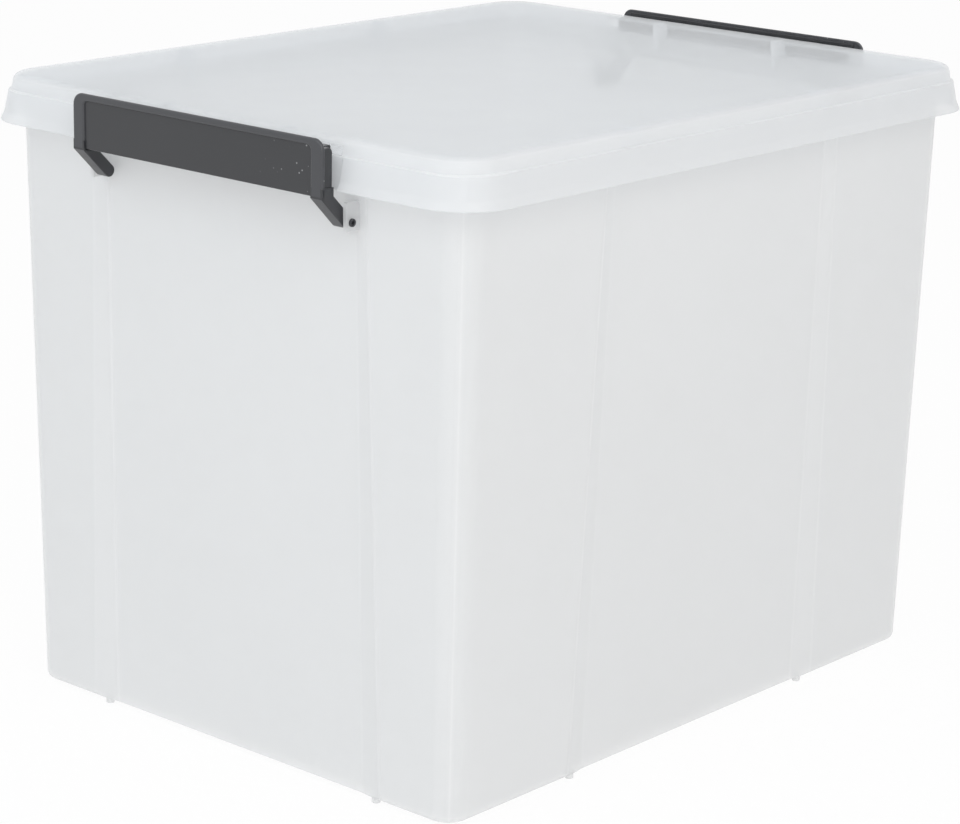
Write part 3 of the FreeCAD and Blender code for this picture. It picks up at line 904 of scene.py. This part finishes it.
def clip_arm(clip, bend):
    """Outline of an arm, seen from the side, and the height of the bend at its back.

    The arm is a bar from the frame's bend down to a round end about the pin.
    """
    pivot, front, rear = np.array([PIVOT[0], PIVOT[2]]), -clip.face, LID_LOW[0]
    lean_x, lean_z = front - pivot[0], bend - pivot[1]
    reach = math.hypot(lean_x, lean_z)
    heading = math.atan2(lean_z, lean_x) - math.asin(clip.arm_radius / reach)
    ahead = np.array([math.cos(heading), math.sin(heading)])
    across = np.array([-ahead[1], ahead[0]])
    front_bend = pivot + across * clip.arm_radius + ahead * math.sqrt(reach ** 2 - clip.arm_radius ** 2)
    rear_foot = pivot - across * clip.arm_radius
    rear_bend = rear_foot + ahead * (rear - rear_foot[0]) / ahead[0]
    turn = math.atan2(-across[1], -across[0]) - np.linspace(0, math.pi, 15)
    end = pivot + clip.arm_radius * np.stack([np.cos(turn), np.sin(turn)], 1)
    top = front_bend[1] + clip.arm_cover
    upright = [(front + clip.arm_setback, front_bend[1] + clip.arm_ease), (front + clip.arm_setback, top),
               (rear, top), rear_bend]
    return np.concatenate([end, [front_bend], upright]), rear_bend[1]


def clip_pin(tub, clip):
    """One pin: a profile with an eased edge and a dimple in its end, turned about the hinge's axis."""
    end = clip.width / 2 + clip.arm_gap + tub.lug_thickness + clip.pin_stand
    radius, edge, part_edge = clip.pin_radius, clip.pin_edge, PIN_EDGE_SHARE * clip.pin_edge
    profile = [(radius, clip.width / 2 - clip.overlap), (radius, end - edge),
               (radius - part_edge, end - part_edge), (radius - edge, end)]
    profile += [(clip.dimple_radius * wide, end - clip.dimple_depth * deep) for wide, deep in DIMPLE_SHARES]
    return turned(profile, PIVOT[0], PIVOT[2])


def clip_hook(lid, clip):
    """The hook: a shelf behind the frame with a lip that drops to the lid's ledge, carried along the clip."""
    ledge = lid.top - lid.plateau
    root = -clip.face + clip.thickness - clip.hook_root
    tip = LID_LOW[0] + lid.lip_flare + lid.skirt_draft - clip.hook_gap
    neck, top, low = tip - clip.hook_thickness, ledge + clip.hook_rise, ledge + clip.hook_gap
    under = top - clip.hook_thickness
    outline = rounded([(root, under), (neck, under), (neck, low), (tip, low), (tip, top), (root, top)],
                      [clip.hook_root, clip.hook_root, clip.soft_edge, clip.soft_edge, clip.plate_corner,
                       clip.hook_root])
    half = clip.width / 2 - clip.band + clip.overlap
    return prism(outline, 1, -half, half, clip.back_edge, clip.back_edge)


def clip_parts(tub, lid, clip):
    """All closed surfaces of the clip at the end that faces -X."""
    bend = lid.lip_height - clip.bend_drop
    half, inner, soft = clip.width / 2, clip.width / 2 - clip.band, clip.soft_edge
    arm_outline, rear_bend = clip_arm(clip, bend)
    arm = prism(arm_outline, 1, inner, half, soft, soft)
    front, rear = -clip.face + clip.thickness / 2, LID_LOW[0]
    low, top = rear_bend - clip.overlap, lid.top - lid.plateau + clip.hook_rise
    small = clip.plate_corner
    flange_outline = rounded([(front, low), (rear, low), (rear, top), (front, top)],
                             [small, small, clip.flange_corner, small])
    flange = prism(flange_outline, 1, inner, half - clip.flange_setback, soft, soft)
    parts = [clip_frame(clip, bend), clip_label(clip), clip_hook(lid, clip)]
    for part in (arm, flange, clip_pin(tub, clip)):
        parts += [part, mirrored(part, 1)]
    return parts


class STORAGE_BOX_OT_clips(bpy.types.Operator):
    """Make the two clip handles with their frames, labels, hooks, arms and pins"""

    bl_idname = "storage_box.make_clips"
    bl_label = "Make the clips"

    def execute(self, context):
        scene = context.scene
        tub, lid, clip, finish = scene.box_tub, scene.box_lid, scene.box_clip, scene.box_finish
        material = charcoal_plastic("clip_plastic", finish.clip_colour)
        parts = clip_parts(tub, lid, clip)
        for body, turn in (("left_clip", False), ("right_clip", True)):
            shown = [mirrored(part, 0) for part in parts] if turn else parts
            add_piece(body + "_handle", shown, material, body, body)
        return {"FINISHED"}


# The stage


def add_lamp(name, place, aim, size, power, rgb):
    """A soft square lamp that faces a point."""
    lamp = bpy.data.lights.new(name, "AREA")
    lamp.size = size
    lamp.energy = power
    lamp.color = rgb
    item = bpy.data.objects.new(name, lamp)
    item.location = place
    item.rotation_euler = (Vector(aim) - Vector(place)).to_track_quat("-Z", "Y").to_euler()
    bpy.context.scene.collection.objects.link(item)


def add_camera(stage):
    """The camera: a bearing, a height and a tilt about a point near the middle of the box."""
    a, e, r = stage.azimuth, stage.elevation, stage.roll
    back = Vector((math.sin(a) * math.cos(e), -math.cos(a) * math.cos(e), math.sin(e)))
    level = Vector((math.cos(a), math.sin(a), 0.0))
    upright = back.cross(level)
    right = level * math.cos(r) + upright * math.sin(r)
    up = upright * math.cos(r) - level * math.sin(r)
    aim = Vector((0.0, 0.0, stage.aim_height)) + right * stage.aim_right + up * stage.aim_up
    view = bpy.data.cameras.new("view")
    view.lens = stage.lens
    view.sensor_width = stage.sensor
    camera = bpy.data.objects.new("view", view)
    turn = Matrix((right, up, back)).transposed().to_4x4()
    camera.matrix_world = Matrix.Translation(aim + back * stage.distance) @ turn
    bpy.context.scene.collection.objects.link(camera)
    bpy.context.scene.camera = camera


def add_floor(stage):
    """A wide flat floor: a grid of two parameters from edge to edge."""
    count = 5
    across = np.linspace(-stage.floor_reach, stage.floor_reach, count)
    x, y = np.meshgrid(across, across)
    first = np.arange(count - 1)[:, None] * count + np.arange(count - 1)
    faces = first.reshape(-1, 1) + np.array([0, 1, count + 1, count])
    mesh = bpy.data.meshes.new("floor")
    mesh.from_pydata(np.stack([x, y, 0 * x], -1).reshape(-1, 3), [], faces.tolist())
    mesh.materials.append(pale_floor("floor_white", stage.floor_colour, stage.floor_white))
    floor = bpy.data.objects.new("floor", mesh)
    bpy.context.scene.collection.objects.link(floor)


def add_sky(stage):
    """Even white light from all round, which the camera and mirrors see as plain white."""
    world = bpy.data.worlds.new("white_surround")
    bpy.context.scene.world = world
    paint = Paint(world)
    sky = paint.node("ShaderNodeBackground", {}, {
        "Color": (1.0, 1.0, 1.0, 1.0), "Strength": stage.sky + (1.0 - stage.sky) * seen_share(paint)})
    paint.node("ShaderNodeOutputWorld", {}, {"Surface": sky})


class STORAGE_BOX_OT_stage(bpy.types.Operator):
    """Make the camera, the floor and the soft light"""

    bl_idname = "storage_box.make_stage"
    bl_label = "Make the stage"

    def execute(self, context):
        stage = context.scene.box_stage
        add_camera(stage)
        add_floor(stage)
        add_sky(stage)
        for name, lamp in LAMPS.items():
            add_lamp(name, *lamp)
        context.scene.view_settings.view_transform = "Standard"
        if context.scene.camera is None:
            raise RuntimeError("the stage has no camera")
        return {"FINISHED"}


# The sidebar


class STORAGE_BOX_PT_sidebar(bpy.types.Panel):
    """Settings and buttons of the storage box"""

    bl_label = "Storage box"
    bl_idname = "STORAGE_BOX_PT_sidebar"
    bl_space_type = "VIEW_3D"
    bl_region_type = "UI"
    bl_category = "Storage box"

    def draw(self, context):
        for group, kind in SETTINGS.items():
            part = self.layout.box()
            part.label(text=kind.__doc__)
            for setting in kind.__annotations__:
                part.prop(getattr(context.scene, group), setting)
        for operator in OPERATORS:
            self.layout.operator(operator.bl_idname)


SETTINGS = {"box_tub": TubSettings, "box_lid": LidSettings, "box_clip": ClipSettings,
            "box_finish": FinishSettings, "box_stage": StageSettings}
OPERATORS = (STORAGE_BOX_OT_tub, STORAGE_BOX_OT_lid, STORAGE_BOX_OT_clips, STORAGE_BOX_OT_stage)
CLASSES = (*SETTINGS.values(), *OPERATORS, STORAGE_BOX_PT_sidebar)


def register():
    for kind in CLASSES:
        bpy.utils.register_class(kind)
    for group, kind in SETTINGS.items():
        setattr(bpy.types.Scene, group, bpy.props.PointerProperty(type=kind))


def unregister():
    for group in SETTINGS:
        delattr(bpy.types.Scene, group)
    for kind in reversed(CLASSES):
        bpy.utils.unregister_class(kind)


def main():
    register()
    bpy.ops.storage_box.make_tub()
    bpy.ops.storage_box.make_lid()
    bpy.ops.storage_box.make_clips()
    bpy.ops.storage_box.make_stage()


if __name__ == "__main__":
    main()
